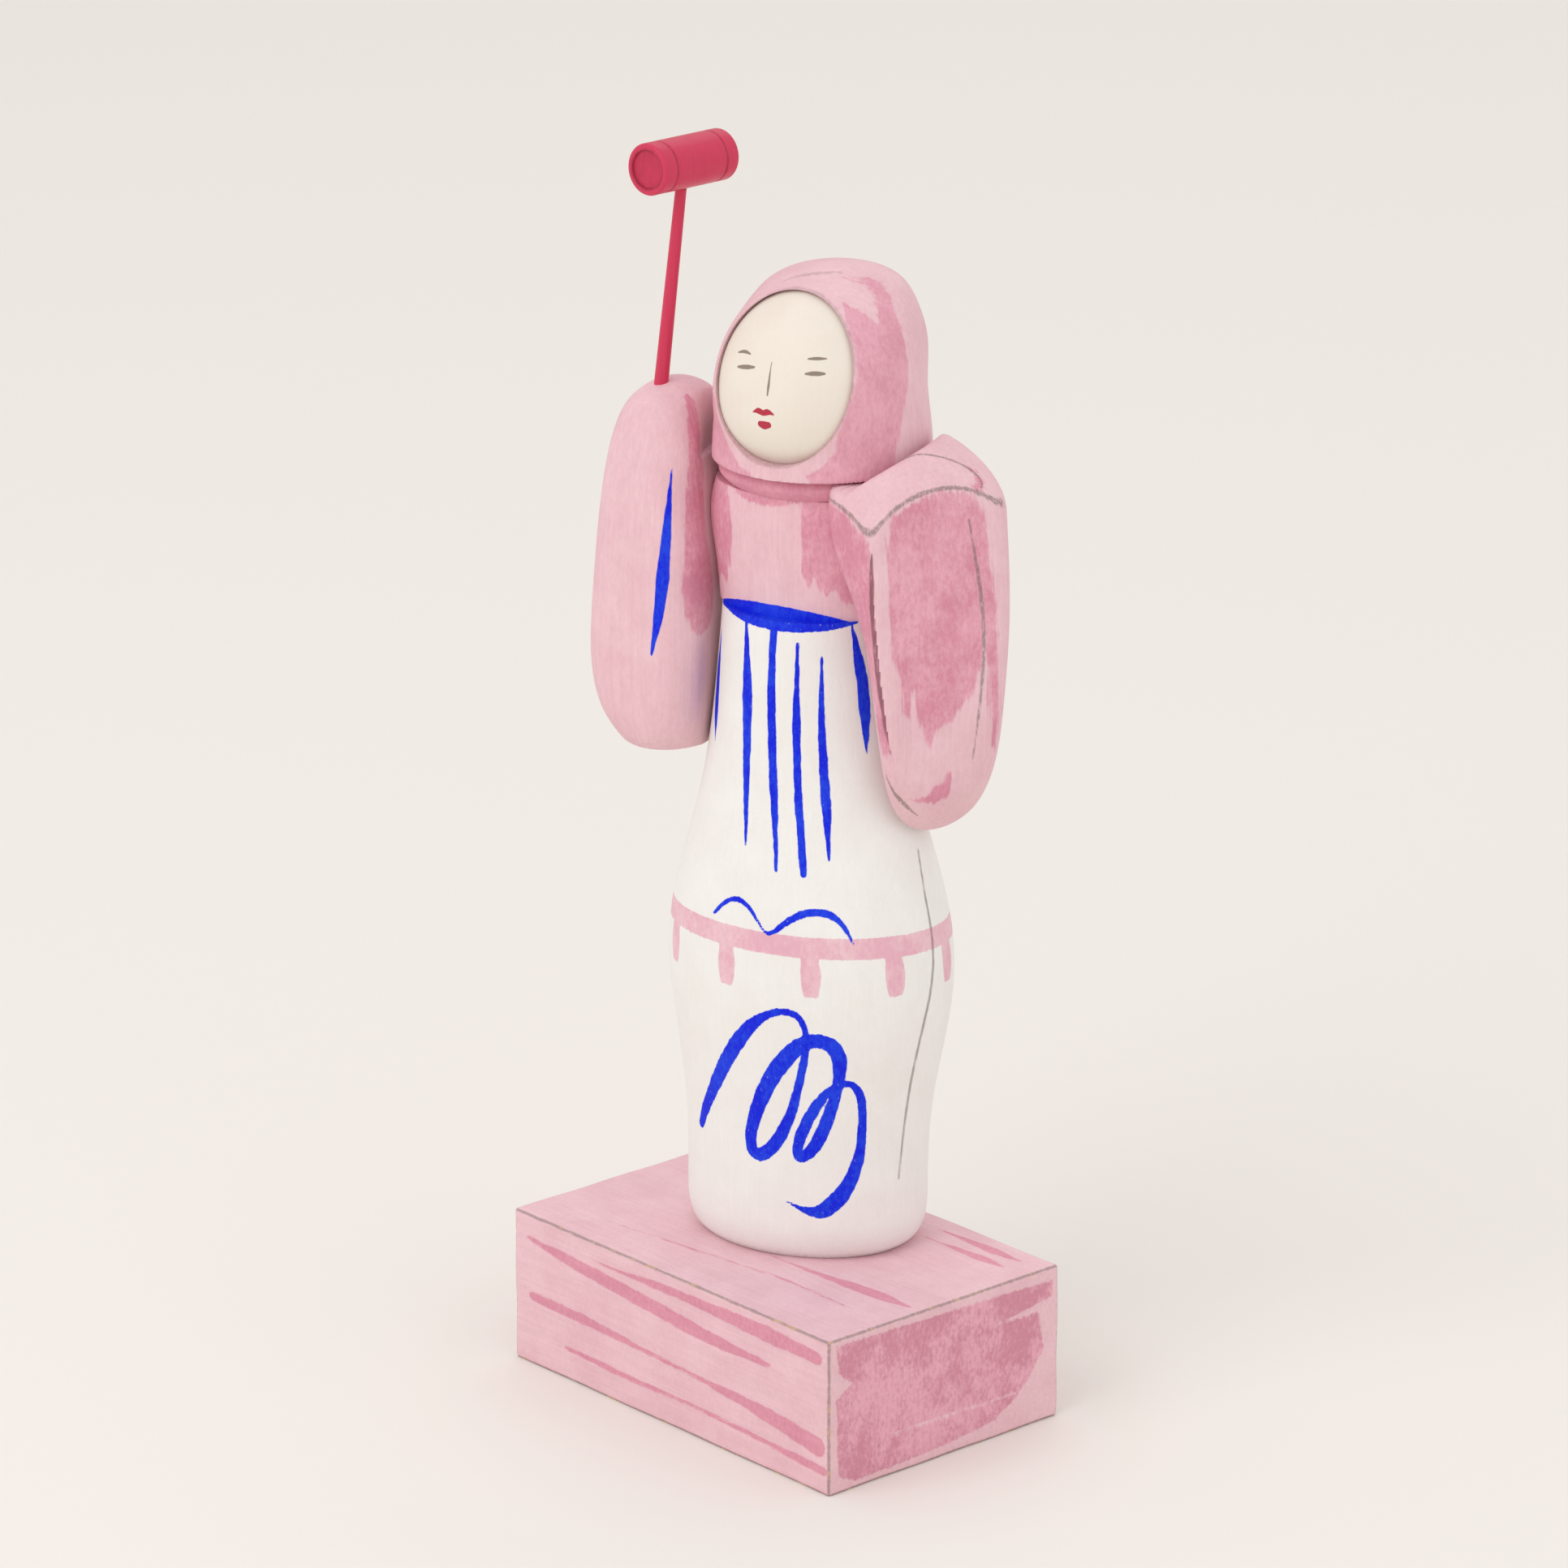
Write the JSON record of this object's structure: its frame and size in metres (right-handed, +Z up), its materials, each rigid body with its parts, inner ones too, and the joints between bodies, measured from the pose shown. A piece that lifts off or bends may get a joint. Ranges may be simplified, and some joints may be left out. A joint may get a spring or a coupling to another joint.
{
  "type": "kokeshi doll",
  "caption": "Hooded kokeshi doll of painted wood, one sleeve raised to grip a slim mallet, standing on a flat rectangular block; the head turns and the mallet lifts out.",
  "frame": {"origin": "middle of the block's underside, on the surface that it stands on", "axes": "+Z up, the block's long side along X and its front towards -Y; the doll faces 20 degrees from -Y towards +X"},
  "size_m": [0.086, 0.0584, 0.2296],
  "materials": {
    "block_pink": "lacquered rose pink over wood, mottled",
    "body_white": "chalky white ground with blue brush marks and a pink belt",
    "robe_pink": "pale pink brushed wash over wood",
    "sleeve_rose": "mottled rose wash over pale pink",
    "collar_rose": "matte dark rose",
    "face_cream": "smooth cream ground, drawn features",
    "hood_pink": "pale pink with a brushed rose shadow",
    "mallet_red": "crimson lacquer",
    "bare_wood": "unpainted wood"
  },
  "bodies": {
    "standing_doll": {"base_block": "block_pink", "foot_dowels": "bare_wood", "lower_body": "body_white", "waist_dowel": "bare_wood", "torso": "robe_pink", "collar": "collar_rose", "right_sleeve": "robe_pink", "right_sleeve_dowels": "bare_wood", "left_sleeve": "sleeve_rose", "left_sleeve_dowels": "bare_wood"},
    "turning_head": {"head": "face_cream", "hood": "hood_pink"},
    "handle": {"mallet_handle": "mallet_red"},
    "mallet": {"mallet_head": "mallet_red"}
  },
  "joints": [
    {"name": "head_turn", "type": "hinge", "parent": "standing_doll", "child": "turning_head", "pos_m": [-0.00164, 0.00986, 0.1731], "axis": [0, 0, 1], "continuous": true},
    {"name": "mallet_pull", "type": "slide", "parent": "standing_doll", "child": "handle", "axis": [0.1096, 0.0399, 0.9932], "range_m": [0, 0.012]},
    {"name": "mallet_twist", "type": "hinge", "parent": "handle", "child": "mallet", "pos_m": [-0.02059, -0.00501, 0.2248], "axis": [0.1096, 0.0399, 0.9932], "continuous": true}
  ]
}
